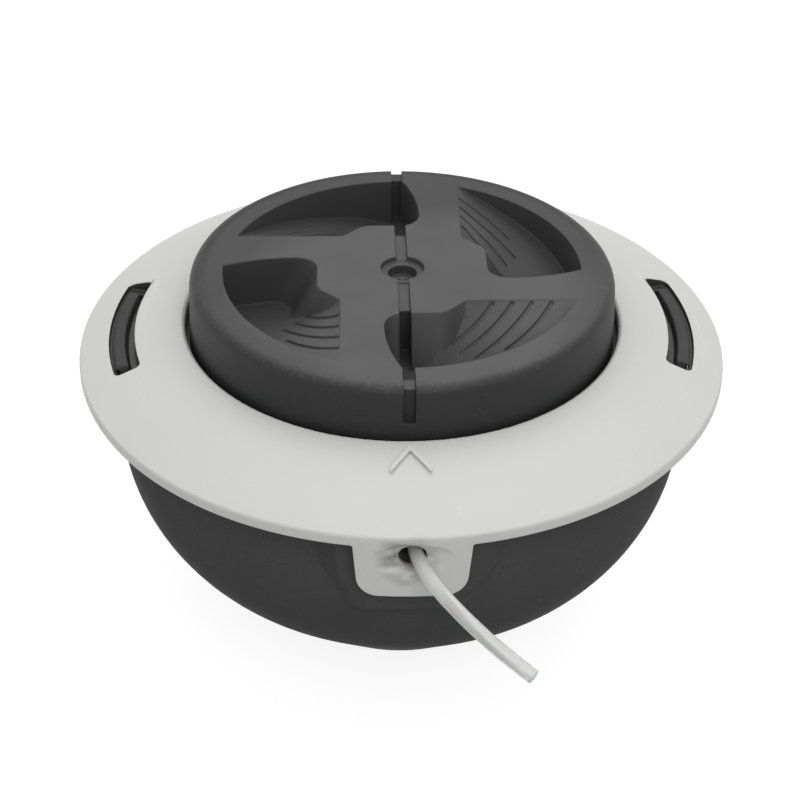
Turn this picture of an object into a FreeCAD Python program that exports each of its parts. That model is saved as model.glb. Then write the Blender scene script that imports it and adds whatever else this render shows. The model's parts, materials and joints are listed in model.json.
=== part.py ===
import FreeCAD, Part
import Sketcher
import math
import os

# Bump feed trimmer head, in millimetres.
# +Z is up, the machine side stands on z = 0, and the axis of rotation is the Z axis.
# The line leaves through the eyelet on the -Y side.

SIZES = {
    # housing
    "foot_radius": 25.2,
    "shell_corner_level": 30.6,
    "shell_round": 40.0,
    "shell_wall": 3.0,
    "cone_wall": 4.4,
    "rim_level": 62.6,
    "floor_level": 18.0,
    "post_radius": 7.5,
    # machine side of the housing
    "mouth_radius": 10.6,
    "mouth_depth": 2.0,
    "relief_radius": 5.3,
    "relief_top": 30.0,
    "nut_across_flats": 17.0,
    "nut_length": 14.0,
    "thread_radius": 4.5,
    "rib_pocket_inner": 13.0,
    "rib_pocket_outer": 22.2,
    "rib_pocket_depth": 9.0,
    "rib_pocket_angle": 46.0,
    "rib_count": 6,
    # eyelet pads on the housing
    "pad_gap": 1.4,
    "pad_half_width": 14.0,
    "pad_waist_half_width": 13.0,
    "pad_foot_half_width": 8.0,
    "pad_waist_drop": 10.2,
    "pad_foot_drop": 17.6,
    "pad_depth": 10.0,
    "pad_spread": 7.0,
    "line_hole_radius": 2.8,
    "line_drop": 2.8,
    # latches that hold the ring
    "latch_inset": 2.2,
    "latch_thickness": 1.9,
    "latch_hook": 0.9,
    "latch_hook_height": 1.0,
    "latch_angle": 28.0,
    "latch_root_depth": 2.0,
    "latch_fit": 0.4,
    # cover ring
    "ring_radius": 64.8,
    "ring_overhang": 7.1,
    "ring_drop": 2.4,
    "ring_band_height": 2.4,
    "ring_band_step": 0.35,
    "ring_crown_radius": 64.0,
    "ring_catch": 6.5,
    "ring_lip_height": 3.4,
    "ring_lip_round": 0.8,
    "ring_shelf_height": 2.6,
    "ring_wall": 2.8,
    "spigot_depth": 5.2,
    "spigot_wall": 3.2,
    "seat_overlap": 0.5,
    "slot_inner_room": 1.9,
    "slot_outer_room": 1.3,
    "slot_angle": 34.0,
    "slot_corner": 1.2,
    "ledge_height": 1.3,
    "tab_top_half_width": 10.75,
    "tab_low_half_width": 9.8,
    "tab_height": 11.4,
    "tab_draft": 0.3,
    "tab_corner": 4.0,
    "eyelet_radius": 2.5,
    "eyelet_flare_half_width": 8.0,
    "eyelet_flare_half_height": 3.4,
    "eyelet_flare_depth": 1.5,
    # bump knob
    "knob_gap": 0.8,
    "knob_draft": 0.6,
    "knob_height": 10.4,
    "knob_round": 2.6,
    "groove_width": 2.2,
    "groove_depth": 1.1,
    "groove_low_height": 2.6,
    "centre_bore_radius": 4.3,
    "centre_bore_depth": 1.2,
    "centre_pip_radius": 2.85,
    "centre_pip_depth": 2.0,
    "plug_length": 4.5,
    "peg_radius": 2.2,
    "peg_circle": 15.2,
    # finger pockets of the knob
    "pocket_count": 4,
    "pocket_depth": 10.2,
    "pocket_rim": 6.6,
    "pocket_inner": 16.8,
    "pocket_inner_draft": 4.1,
    "pocket_end": 3.8,
    "pocket_end_radius": 35.0,
    "pocket_flare_start": 7.6,
    "pocket_flare_end": 12.2,
    "pocket_flare_draft": 6.7,
    "pocket_tip_draft": 3.6,
    "pocket_corner": 4.0,
    "pocket_flare_round": 5.0,
    "ramp_head": 12.4,
    "ramp_head_start": 4.0,
    "ramp_head_run": 72.0,
    "ramp_foot": 2.0,
    "ramp_foot_start": 14.6,
    "ramp_foot_run": 49.5,
    "ramp_lap": 0.4,
    "wall_slot_depth": 2.4,
    "grip_width": 0.7,
    "grip_depth": 0.45,
    "grip_head_across": 17.2,
    "grip_head_pitch": 3.8,
    "grip_head_drop": 0.3,
    "grip_foot_across": 7.4,
    "grip_foot_pitch": 2.85,
    "grip_foot_back": 19.6,
    "grip_foot_back_pitch": 2.1,
    "grip_last_short": 4.2,
    "grip_bow": 0.8,
    "grip_count": 4,
    # spool
    "flange_play": 1.2,
    "flange_thickness": 2.5,
    "divider_inset": 2.0,
    "divider_height": 16.0,
    "low_flange_inset": 6.0,
    "low_flange_height": 13.0,
    "low_flange_thickness": 2.0,
    "barrel_radius": 22.0,
    "barrel_wall": 2.5,
    "sleeve_wall": 1.5,
    "sleeve_length": 17.4,
    "upper_winding_radius": 41.0,
    "lower_winding_radius": 38.0,
    "winding_crown": 1.5,
    # index teeth between the spool and the housing floor
    "tooth_count": 8,
    "tooth_inner": 29.0,
    "tooth_outer": 36.0,
    "tooth_length": 7.0,
    "tooth_height": 3.0,
    "bump_travel": 7.0,
    # spring and washer
    "spring_mean_radius": 11.8,
    "spring_wire_radius": 0.9,
    "spring_turns": 5,
    "washer_inner": 9.8,
    "washer_outer": 14.5,
    "washer_thickness": 1.0,
    # running clearance between moving neighbours
    "clearance": 0.3,
    # nylon line
    "line_radius": 1.35,
}

# Route of the free line, from inside the housing out of the eyelet to its cut end.
LINE_POINTS = [
    (0.0, -51.8, 57.4),
    (0.1, -58.2, 57.4),
    (0.9, -64.6, 57.5),
    (3.4, -70.4, 56.7),
    (7.5, -74.9, 54.4),
    (12.0, -78.1, 51.3),
    (16.5, -80.3, 48.0),
    (20.5, -81.8, 45.3),
]

Z_AXIS = FreeCAD.Vector(0, 0, 1)
ORIGIN = FreeCAD.Vector(0, 0, 0)

doc = FreeCAD.newDocument("bump_feed_trimmer_head")
sheet = doc.addObject("Spreadsheet::Sheet", "sizes")
for row, (alias, value) in enumerate(SIZES.items(), start=1):
    sheet.set(f"A{row}", alias)
    sheet.set(f"B{row}", str(value))
    sheet.setAlias(f"B{row}", alias)
doc.recompute()


class Size:
    """A length that knows its value and the spreadsheet expression that gives it."""

    def __init__(self, value, text):
        self.value = float(value)
        self.text = text

    def __add__(self, other):
        other = as_size(other)
        return Size(self.value + other.value, f"({self.text} + {other.text})")

    def __sub__(self, other):
        other = as_size(other)
        return Size(self.value - other.value, f"({self.text} - {other.text})")

    def __mul__(self, other):
        other = as_size(other)
        return Size(self.value * other.value, f"({self.text} * {other.text})")

    def __truediv__(self, other):
        other = as_size(other)
        return Size(self.value / other.value, f"({self.text} / {other.text})")

    def __neg__(self):
        return Size(-self.value, f"(-1 * {self.text})")


def as_size(number):
    """A plain number as a Size."""
    return number if isinstance(number, Size) else Size(number, repr(float(number)))


class Sheet:
    """The spreadsheet's cells, read by alias as Sizes."""

    def __getattr__(self, alias):
        return Size(sheet.get(alias), f"sizes.{alias}")


cell = Sheet()


def bind(target, name, size):
    """Tie one property of an object to the spreadsheet."""
    target.setExpression(name, as_size(size).text)


def new_body(name):
    return doc.addObject("PartDesign::Body", name)


def origin_feature(body, role):
    return next(item for item in body.Origin.OriginFeatures if item.Role == role)


def sketch_on(body, name, role):
    """An empty sketch on one of the body's own planes."""
    sketch = body.newObject("Sketcher::SketchObject", name)
    sketch.AttachmentSupport = (origin_feature(body, role), [""])
    sketch.MapMode = "FlatFace"
    return sketch


def clockwise_arc(start, end, radius):
    """Short arc that runs clockwise from start to end, stored from end to start."""
    chord = end.sub(start)
    half = chord.Length / 2
    right = FreeCAD.Vector(chord.y, -chord.x, 0).normalize()
    centre = start.add(end).multiply(0.5).add(right.multiply(math.sqrt(radius ** 2 - half ** 2)))
    from_end = math.atan2(end.y - centre.y, end.x - centre.x)
    to_start = math.atan2(start.y - centre.y, start.x - centre.x)
    return Part.ArcOfCircle(Part.Circle(centre, Z_AXIS, radius), from_end, to_start)


def outline(sketch, corners):
    """Closed outline. A corner is (across, up), and (across, up, radius) starts a clockwise arc."""
    points = [FreeCAD.Vector(as_size(c[0]).value, as_size(c[1]).value, 0) for c in corners]
    count = len(corners)
    ends = []
    for index, corner in enumerate(corners):
        start, end = points[index], points[(index + 1) % count]
        if len(corner) == 3:
            sketch.addGeometry(clockwise_arc(start, end, corner[2].value))
            ends.append((2, 1))
        else:
            sketch.addGeometry(Part.LineSegment(start, end))
            ends.append((1, 2))
    for index in range(count):
        follower = (index + 1) % count
        sketch.addConstraint(
            Sketcher.Constraint("Coincident", index, ends[index][1], follower, ends[follower][0])
        )
    for index, corner in enumerate(corners):
        for kind, size in (("DistanceX", corner[0]), ("DistanceY", corner[1])):
            size = as_size(size)
            held = sketch.addConstraint(
                Sketcher.Constraint(kind, -1, 1, index, ends[index][0], size.value)
            )
            sketch.setExpression(f"Constraints[{held}]", size.text)
        if len(corner) == 3:
            held = sketch.addConstraint(Sketcher.Constraint("Radius", index, corner[2].value))
            sketch.setExpression(f"Constraints[{held}]", corner[2].text)
    return sketch


def circle(sketch, across, up, radius):
    """A full circle, tied to the spreadsheet."""
    centre = FreeCAD.Vector(as_size(across).value, as_size(up).value, 0)
    index = sketch.addGeometry(Part.Circle(centre, Z_AXIS, radius.value))
    for kind, size in (("DistanceX", across), ("DistanceY", up)):
        size = as_size(size)
        held = sketch.addConstraint(Sketcher.Constraint(kind, -1, 1, index, 3, size.value))
        sketch.setExpression(f"Constraints[{held}]", size.text)
    held = sketch.addConstraint(Sketcher.Constraint("Radius", index, radius.value))
    sketch.setExpression(f"Constraints[{held}]", radius.text)
    return sketch


def turned(body, kind, sketch, angle=None):
    """Revolution or Groove round the Z axis; an angle makes a sector centred on the sketch."""
    feature = body.newObject(f"PartDesign::{kind}", f"{sketch.Name}_{kind.lower()}")
    feature.Profile = sketch
    feature.ReferenceAxis = (sketch, ["V_Axis"])
    feature.Angle = 360
    if angle is not None:
        feature.Midplane = True
        bind(feature, "Angle", angle)
    doc.recompute()
    return feature


def through(body, kind, sketch, length):
    """Pad or Pocket of a given length, half on each side of the sketch."""
    feature = body.newObject(f"PartDesign::{kind}", f"{sketch.Name}_{kind.lower()}")
    feature.Profile = sketch
    feature.SideType = "Symmetric"
    bind(feature, "Length", length)
    doc.recompute()
    return feature


def upward(body, kind, sketch, length):
    """Pad or Pocket that starts at the sketch and goes up."""
    feature = body.newObject(f"PartDesign::{kind}", f"{sketch.Name}_{kind.lower()}")
    feature.Profile = sketch
    feature.Reversed = kind == "Pocket"
    bind(feature, "Length", length)
    doc.recompute()
    return feature


def round_the_axis(body, feature, count):
    """Repeat a feature evenly round the Z axis."""
    pattern = body.newObject("PartDesign::PolarPattern", f"{feature.Name}_pattern")
    pattern.Originals = [feature]
    pattern.Axis = (origin_feature(body, "Z_Axis"), [""])
    pattern.Angle = 360
    bind(pattern, "Occurrences", count)
    body.Tip = pattern
    doc.recompute()
    return pattern


def edges_where(feature, test):
    """Names of a feature's edges whose middle and bounds pass the test."""
    names = []
    for number, edge in enumerate(feature.Shape.Edges, start=1):
        if test(edge):
            names.append(f"Edge{number}")
    if not names:
        raise RuntimeError(f"no edge found on {feature.Name}")
    return names


def dress(body, kind, base, names, size):
    """Fillet or Chamfer on named edges of a feature."""
    feature = body.newObject(f"PartDesign::{kind}", f"{base.Name}_{kind.lower()}")
    feature.Base = (base, names)
    bind(feature, "Radius" if kind == "Fillet" else "Size", size)
    body.Tip = feature
    doc.recompute()
    return feature


def near(a, b, room=0.02):
    return abs(a - b) < room


def ring_edge(radius, level):
    """Test for a circular edge round the Z axis."""

    def test(edge):
        curve = edge.Curve
        if not isinstance(curve, Part.Circle):
            return False
        centre = curve.Center
        on_axis = near(math.hypot(centre.x, centre.y), 0)
        return on_axis and near(curve.Radius, radius.value) and near(centre.z, level.value)

    return test


def middle(edge):
    low, high = edge.ParameterRange
    return edge.valueAt((low + high) / 2)


# radii that several pieces share, from the ring inwards
tab_inner = cell.ring_radius - cell.ring_wall
pad_reach = tab_inner - cell.pad_gap
shell_radius = cell.ring_radius - cell.ring_overhang
shell_inner = shell_radius - cell.shell_wall
latch_inner = shell_radius - cell.latch_inset
latch_outer = latch_inner + cell.latch_thickness
slot_inner = latch_inner - cell.slot_inner_room
slot_outer = latch_outer + cell.slot_outer_room
spigot_outer = shell_inner - cell.clearance
spigot_inner = spigot_outer - cell.spigot_wall
flange_radius = spigot_inner - cell.flange_play
divider_radius = flange_radius - cell.divider_inset
low_flange_radius = flange_radius - cell.low_flange_inset
ring_opening = flange_radius - cell.ring_catch
knob_low_radius = ring_opening - cell.knob_gap
knob_top_radius = knob_low_radius - cell.knob_draft
pocket_outer = knob_top_radius - cell.pocket_rim
pocket_beyond = pocket_outer + cell.wall_slot_depth

# levels that several pieces share, from the rim of the housing up and down
ledge_level = cell.rim_level + cell.ledge_height
latch_top = ledge_level + cell.clearance + cell.latch_hook_height
ring_shelf_level = cell.rim_level + cell.ring_shelf_height
ring_top = ring_shelf_level + cell.ring_lip_height
groove_low_level = ring_top + cell.groove_low_height
knob_top = ring_top + cell.knob_height
pocket_floor = knob_top - cell.pocket_depth
ring_low_level = cell.rim_level - cell.ring_drop
line_level = ring_low_level - cell.line_drop
tab_low = ring_low_level - cell.tab_height
pad_waist_level = ring_low_level - cell.pad_waist_drop
pad_foot_level = ring_low_level - cell.pad_foot_drop
flange_top = ring_shelf_level - cell.clearance
flange_low = flange_top - cell.flange_thickness
plug_low = flange_top - cell.plug_length
post_top = plug_low - cell.bump_travel - cell.clearance
low_flange_level = cell.floor_level + cell.low_flange_height
divider_level = low_flange_level + cell.divider_height
cone_run = (shell_radius - cell.foot_radius) / cell.shell_corner_level


def cone_inner(level):
    """Inside radius of the housing's cone at a level."""
    return cell.foot_radius + level * cone_run - cell.cone_wall


def make_base_cup():
    """Moulded housing: dome, centre post, nut socket, ribs, eyelet pads and latches."""
    body = new_body("base_cup")
    outer = outline(sketch_on(body, "shell_outside", "XZ_Plane"), [
        (0, 0),
        (cell.foot_radius, 0),
        (shell_radius, cell.shell_corner_level),
        (shell_radius, cell.rim_level),
        (0, cell.rim_level),
    ])
    solid = turned(body, "Revolution", outer)
    corner = edges_where(solid, ring_edge(shell_radius, cell.shell_corner_level))
    solid = dress(body, "Fillet", solid, corner, cell.shell_round)
    add_eyelet_pads(body)
    hollow = body.newObject("PartDesign::Boolean", "hollow")
    hollow.Type = "Cut"
    hollow.setObjects([make_cavity_core()])
    body.Tip = hollow
    doc.recompute()
    add_machine_side(body)
    window = sketch_on(body, "line_window", "XZ_Plane")
    circle(window, 0, line_level, cell.line_hole_radius)
    through(body, "Pocket", window, shell_radius * 3)
    add_latches(body)
    add_teeth(body, "floor_tooth", cell.floor_level, cell.floor_level + cell.tooth_height)
    return body


def make_cavity_core():
    """Space inside the housing, round the post."""
    body = new_body("cavity_core")
    corner_level = (shell_inner - cell.foot_radius + cell.cone_wall) / cone_run
    above = cell.rim_level + cell.shell_wall
    section = outline(sketch_on(body, "cavity_section", "XZ_Plane"), [
        (0, post_top),
        (cell.post_radius, post_top),
        (cell.post_radius, cell.floor_level),
        (cone_inner(cell.floor_level), cell.floor_level),
        (shell_inner, corner_level),
        (shell_inner, above),
        (0, above),
    ])
    core = turned(body, "Revolution", section)
    corner = edges_where(core, ring_edge(shell_inner, corner_level))
    dress(body, "Fillet", core, corner, cell.shell_round - cell.shell_wall)
    return body


def add_eyelet_pads(body):
    """Pads with sloping sides behind both eyelet tabs of the ring."""
    front = pad_outline(body, "pad_front", pad_reach, as_size(0))
    root = pad_outline(body, "pad_root", pad_reach - cell.pad_depth, cell.pad_spread)
    pad = body.newObject("PartDesign::AdditiveLoft", "eyelet_pad")
    pad.Profile = front
    pad.Sections = [root]
    pad.Ruled = True
    doc.recompute()
    round_the_axis(body, pad, as_size(2))


def pad_outline(body, name, reach, spread):
    """Outline of an eyelet pad at a distance from the axis, widened on three sides."""
    top = ring_low_level - cell.clearance
    foot = pad_foot_level - spread
    sketch = outline(sketch_on(body, name, "XZ_Plane"), [
        (-cell.pad_half_width - spread, top),
        (cell.pad_half_width + spread, top),
        (cell.pad_waist_half_width + spread, pad_waist_level),
        (cell.pad_foot_half_width + spread, foot),
        (-cell.pad_foot_half_width - spread, foot),
        (-cell.pad_waist_half_width - spread, pad_waist_level),
    ])
    bind(sketch, "AttachmentOffset.Base.z", reach)
    return sketch


def add_machine_side(body):
    """Mouth, shaft relief, nut socket and the pockets between the ribs."""
    below = -cell.mouth_depth
    bore = outline(sketch_on(body, "shaft_bore", "XZ_Plane"), [
        (0, below),
        (cell.mouth_radius, below),
        (cell.mouth_radius, cell.mouth_depth),
        (cell.relief_radius, cell.mouth_depth),
        (cell.relief_radius, cell.relief_top),
        (0, cell.relief_top),
    ])
    turned(body, "Groove", bore)
    socket = outline(sketch_on(body, "nut_socket", "XY_Plane"), hexagon(cell.nut_across_flats))
    upward(body, "Pocket", socket, cell.mouth_depth + cell.nut_length)
    recess = outline(sketch_on(body, "rib_pocket", "XZ_Plane"), [
        (cell.rib_pocket_inner, below),
        (cell.rib_pocket_outer, below),
        (cell.rib_pocket_outer, cell.rib_pocket_depth),
        (cell.rib_pocket_inner, cell.rib_pocket_depth),
    ])
    recess = turned(body, "Groove", recess, cell.rib_pocket_angle)
    round_the_axis(body, recess, cell.rib_count)


def hexagon(across_flats):
    """Corners of a hexagon with two flats facing +X and -X."""
    half = across_flats / 2
    corner = across_flats / math.sqrt(3)
    return [
        (half, -(corner / 2)),
        (half, corner / 2),
        (as_size(0), corner),
        (-half, corner / 2),
        (-half, -(corner / 2)),
        (as_size(0), -corner),
    ]


def add_latches(body):
    """Hooked latch tabs that rise into the ring's slots, on the +X and -X sides."""
    hook_low = ledge_level + cell.clearance
    latch = outline(sketch_on(body, "latch", "XZ_Plane"), [
        (latch_inner, cell.rim_level - cell.latch_root_depth),
        (latch_outer, cell.rim_level - cell.latch_root_depth),
        (latch_outer, hook_low),
        (latch_outer + cell.latch_hook, hook_low),
        (latch_outer, latch_top),
        (latch_inner, latch_top),
    ])
    round_the_axis(body, turned(body, "Revolution", latch, cell.latch_angle), as_size(2))


def add_teeth(body, name, root, tip):
    """Ramped index teeth between the root and tip levels, round the Z axis."""
    tooth = outline(sketch_on(body, name, "XZ_Plane"), [
        (-cell.tooth_length / 2, root),
        (cell.tooth_length / 2, root),
        (cell.tooth_length / 2, tip),
        (cell.tooth_length / 4, tip),
    ])
    bind(tooth, "AttachmentOffset.Base.z", cell.tooth_inner)
    pad = upward(body, "Pad", tooth, cell.tooth_outer - cell.tooth_inner)
    round_the_axis(body, pad, cell.tooth_count)


def make_drive_nut():
    """Steel hexagon nut with the bore of its fine thread."""
    body = new_body("drive_nut")
    hexagon_sketch = outline(sketch_on(body, "nut_outline", "XY_Plane"), hexagon(cell.nut_across_flats))
    bind(hexagon_sketch, "AttachmentOffset.Base.z", cell.mouth_depth)
    upward(body, "Pad", hexagon_sketch, cell.nut_length)
    thread = circle(sketch_on(body, "nut_thread", "XY_Plane"), 0, 0, cell.thread_radius)
    upward(body, "Pocket", thread, cell.mouth_depth + cell.nut_length * 2)
    return body


def make_cover_ring():
    """Grey ring: crowned top, spigot, seat, eyelet tabs and latch slots."""
    body = new_body("cover_ring")
    band_top = ring_low_level + cell.ring_band_height
    seat_outer = shell_radius + cell.seat_overlap
    section = outline(sketch_on(body, "ring_section", "XZ_Plane"), [
        (tab_inner, tab_low),
        (tab_inner, band_top - cell.ring_band_step * 2),
        (seat_outer, cell.rim_level),
        (spigot_outer, cell.rim_level),
        (spigot_outer, ring_shelf_level - cell.spigot_depth),
        (spigot_inner, ring_shelf_level - cell.spigot_depth),
        (spigot_inner, ring_shelf_level),
        (ring_opening, ring_shelf_level),
        (ring_opening, ring_top, cell.ring_crown_radius),
        (cell.ring_radius - cell.ring_band_step, band_top),
        (cell.ring_radius, band_top - cell.ring_band_step),
        (cell.ring_radius, ring_low_level),
        (cell.ring_radius - cell.tab_draft, tab_low),
    ])
    ring = turned(body, "Revolution", section)
    lip = edges_where(ring, ring_edge(ring_opening, ring_top))
    dress(body, "Fillet", ring, lip, cell.ring_lip_round)
    leave_eyelet_tabs(body)
    slot = outline(sketch_on(body, "latch_slot", "XZ_Plane"), [
        (slot_inner, ledge_level),
        (slot_outer, ledge_level),
        (slot_outer, ring_top),
        (slot_inner, ring_top),
    ])
    round_the_axis(body, turned(body, "Groove", slot, cell.slot_angle), as_size(2))
    dress(body, "Fillet", body.Tip, edges_where(body.Tip, slot_corner), cell.slot_corner)
    passage = outline(sketch_on(body, "latch_passage", "XZ_Plane"), [
        (latch_inner - cell.latch_fit, cell.rim_level - cell.latch_root_depth),
        (latch_outer + cell.latch_fit, cell.rim_level - cell.latch_root_depth),
        (latch_outer + cell.latch_fit, ring_top),
        (latch_inner - cell.latch_fit, ring_top),
    ])
    passage_angle = (cell.slot_angle + cell.latch_angle) / 2
    round_the_axis(body, turned(body, "Groove", passage, passage_angle), as_size(2))
    return body


def slot_corner(edge):
    """Test for an upright edge at an end of a latch slot."""
    low, high = edge.Vertexes[0].Point, edge.Vertexes[-1].Point
    upright = near(low.x, high.x) and near(low.y, high.y) and not near(low.z, high.z)
    reach = math.hypot(low.x, low.y)
    return upright and (near(reach, slot_inner.value) or near(reach, slot_outer.value))


def leave_eyelet_tabs(body):
    """Cut the skirt away except for a tab at each eyelet, then flare and bore the eyelets."""
    far = cell.ring_radius + cell.ring_wall
    below = tab_low - cell.ring_wall
    waste = outline(sketch_on(body, "skirt_waste", "XZ_Plane"), [
        (-far, ring_low_level),
        (-cell.tab_top_half_width, ring_low_level),
        (-cell.tab_low_half_width, tab_low),
        (-cell.tab_low_half_width, below),
        (-far, below),
    ])
    waste = through(body, "Pocket", waste, far * 2)
    round_the_axis(body, waste, as_size(2))

    def tab_corner(edge):
        point = middle(edge)
        across = near(abs(point.x), cell.tab_low_half_width.value)
        return across and all(near(v.Point.z, tab_low.value) for v in edge.Vertexes)

    names = edges_where(body.Tip, tab_corner)
    dress(body, "Fillet", body.Tip, names, cell.tab_corner)
    flare = body.newObject("PartDesign::SubtractiveEllipsoid", "eyelet_flare")
    bind(flare, "Radius1", cell.eyelet_flare_half_height)
    bind(flare, "Radius2", cell.eyelet_flare_half_width)
    bind(flare, "Radius3", cell.eyelet_flare_depth)
    flare.AttachmentSupport = (origin_feature(body, "XY_Plane"), [""])
    flare.MapMode = "FlatFace"
    bind(flare, "AttachmentOffset.Base.y", -cell.ring_radius)
    bind(flare, "AttachmentOffset.Base.z", line_level)
    doc.recompute()
    round_the_axis(body, flare, as_size(2))
    eyelet = circle(sketch_on(body, "eyelet", "XZ_Plane"), 0, line_level, cell.eyelet_radius)
    through(body, "Pocket", eyelet, far * 2)


def make_knob():
    """Bump knob: crowned disc with a plug and pegs below, and four finger pockets on top."""
    body = new_body("knob_blank")
    section = outline(sketch_on(body, "knob_section", "XZ_Plane"), [
        (0, plug_low),
        (cell.post_radius, plug_low),
        (cell.post_radius, flange_top),
        (knob_low_radius, flange_top),
        (knob_top_radius, knob_top),
        (0, knob_top),
    ])
    disc = turned(body, "Revolution", section)
    rim = edges_where(disc, ring_edge(knob_top_radius, knob_top))
    dress(body, "Fillet", disc, rim, cell.knob_round)
    bore_low = knob_top - cell.centre_bore_depth
    bore = outline(sketch_on(body, "centre_bore", "XZ_Plane"), [
        (0, bore_low - cell.centre_pip_depth),
        (cell.centre_pip_radius, bore_low - cell.centre_pip_depth),
        (cell.centre_pip_radius, bore_low),
        (cell.centre_bore_radius, bore_low),
        (cell.centre_bore_radius, knob_top),
        (0, knob_top),
    ])
    turned(body, "Groove", bore)
    pegs = sketch_on(body, "pegs", "XY_Plane")
    circle(pegs, cell.peg_circle, 0, cell.peg_radius)
    circle(pegs, -cell.peg_circle, 0, cell.peg_radius)
    bind(pegs, "AttachmentOffset.Base.z", flange_low)
    upward(body, "Pad", pegs, cell.flange_thickness)
    knob = body
    for tool in (make_pinwheel(), *make_groove()):
        knob = cut(knob, tool)
    knob.Label = "bump_knob"
    return knob


def cut(base, tool):
    """Part::Cut of one object by another."""
    result = doc.addObject("Part::Cut", f"{tool.Name}_cut")
    result.Base = base
    result.Tool = tool
    doc.recompute()
    return result


def block(name, low, high):
    """Part::Box between two corners given as Sizes."""
    box = doc.addObject("Part::Box", name)
    for side, axis, start, end in zip(("Length", "Width", "Height"), "xyz", low, high):
        bind(box, side, as_size(end) - as_size(start))
        bind(box, f"Placement.Base.{axis}", start)
    return box


def make_groove():
    """The groove across the knob and the wall slots where it meets two of the pockets."""
    half = cell.groove_width / 2
    reach = knob_low_radius + cell.groove_depth
    above = knob_top + cell.groove_depth
    groove_floor = knob_top - cell.groove_depth
    wall_slot_inner = cell.pocket_inner - cell.wall_slot_depth
    side = knob_top_radius - cell.groove_depth
    return [
        block("groove_top", (-half, -reach, groove_floor), (half, reach, above)),
        block("groove_front", (-half, -reach, groove_low_level), (half, -side, above)),
        block("groove_back", (-half, side, groove_low_level), (half, reach, above)),
        block("slot_front", (-half, -pocket_beyond, pocket_floor), (half, -wall_slot_inner, above)),
        block("slot_back", (-half, wall_slot_inner, pocket_floor), (half, pocket_beyond, above)),
    ]


def level_sketch(name, level):
    """A level sketch outside any body, at a height from the spreadsheet."""
    sketch = doc.addObject("Sketcher::SketchObject", name)
    bind(sketch, "Placement.Base.z", level)
    return sketch


def make_pinwheel():
    """The finger pockets, evenly round the axis."""
    pocket = make_pocket()
    pinwheel = doc.addObject("Part::Feature", "finger_pockets")
    count = int(cell.pocket_count.value)
    copies = [pocket.Shape.copy() for _ in range(count)]
    for number, copy in enumerate(copies):
        copy.rotate(ORIGIN, Z_AXIS, 360 * number / count)
    pinwheel.Shape = Part.makeCompound(copies)
    return pinwheel


def lofted(name, sections):
    """Part::Loft between sketches, with straight lines from one to the next."""
    loft = doc.addObject("Part::Loft", name)
    loft.Sections = sections
    loft.Solid = True
    loft.Ruled = True
    doc.recompute()
    return loft


def make_pocket():
    """Space of the front pocket: drafted walls and a level floor, less the twisted ramp."""
    above = knob_top + cell.groove_depth
    overrun = cell.groove_depth / cell.pocket_depth
    low = pocket_plan("pocket_floor_plan", pocket_floor, as_size(1))
    high = pocket_plan("pocket_top_plan", above, -overrun)
    sides = lofted("pocket_sides", [low, high])
    rounded = doc.addObject("Part::Fillet", "pocket_rounded")
    rounded.Base = sides
    rounded.Edges = pocket_rounds(sides)
    drum = doc.addObject("Part::Cylinder", "pocket_drum")
    bind(drum, "Radius", pocket_outer)
    bind(drum, "Height", above - pocket_floor)
    bind(drum, "Placement.Base.z", pocket_floor)
    walls = doc.addObject("Part::Common", "pocket_walls")
    walls.Base = rounded
    walls.Tool = drum
    doc.recompute()
    return cut(walls, make_ramp(above, overrun))


def inner_wall(draft):
    """Corners of the pocket's inner wall, moved into the pocket by a share of its draft."""
    tip = cell.pocket_tip_draft * draft
    return [
        (-cell.pocket_end, -(cell.pocket_inner + cell.pocket_inner_draft * draft)),
        (cell.pocket_flare_start, -(cell.pocket_inner + cell.pocket_flare_draft * draft)),
        (cell.pocket_flare_end + tip, -(cell.ramp_head - cell.ramp_lap + tip)),
    ]


def pocket_plan(name, level, draft):
    """Outline of the front pocket at a level, open to the outside."""
    corners = inner_wall(draft)
    corners += [
        (pocket_beyond, corners[-1][1]),
        (pocket_beyond, -pocket_beyond),
        (as_size(0), -pocket_beyond, cell.pocket_end_radius),
    ]
    return outline(level_sketch(name, level), corners)


def pocket_rounds(sides):
    """Edges down the pocket's inner wall with the radius that each one gets."""
    corners = inner_wall(as_size(1))
    rounds = []
    for (across, back), radius in zip(corners, (cell.pocket_corner, cell.pocket_flare_round)):
        foot = FreeCAD.Vector(across.value, back.value, pocket_floor.value)
        for number, edge in enumerate(sides.Shape.Edges, start=1):
            ends = [vertex.Point for vertex in edge.Vertexes]
            slanted = not near(ends[0].z, ends[-1].z)
            if slanted and any(near(foot.distanceToPoint(point), 0) for point in ends):
                rounds.append((number, radius.value, radius.value))
    return rounds


def make_ramp(above, overrun):
    """Ramp that twists from its level head down to its foot on the pocket's floor, with grip lines."""
    behind = -cell.ramp_head / 2
    head_end = cell.ramp_head_start + cell.ramp_head_run
    foot_end = cell.ramp_foot_start + cell.ramp_foot_run
    heads = [(cell.ramp_head_start, -cell.ramp_head), (head_end, -cell.ramp_head)]
    feet = [(cell.ramp_foot, -cell.ramp_foot_start), (cell.ramp_foot, -foot_end)]
    crests = []
    for head, foot in zip(heads, feet):
        crests.append(tuple(top + (top - low) * overrun for top, low in zip(head, foot)))
    sections = []
    for name, level, edge in (("ramp_foot_plan", pocket_floor, feet), ("ramp_crest_plan", above, crests)):
        corners = [edge[0], (cell.ramp_head_start, behind), (crests[1][0], behind), edge[1]]
        sections.append(outline(level_sketch(name, level), corners))
    ramp = lofted("ramp", sections)
    return cut(ramp, make_grips(ramp))


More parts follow.
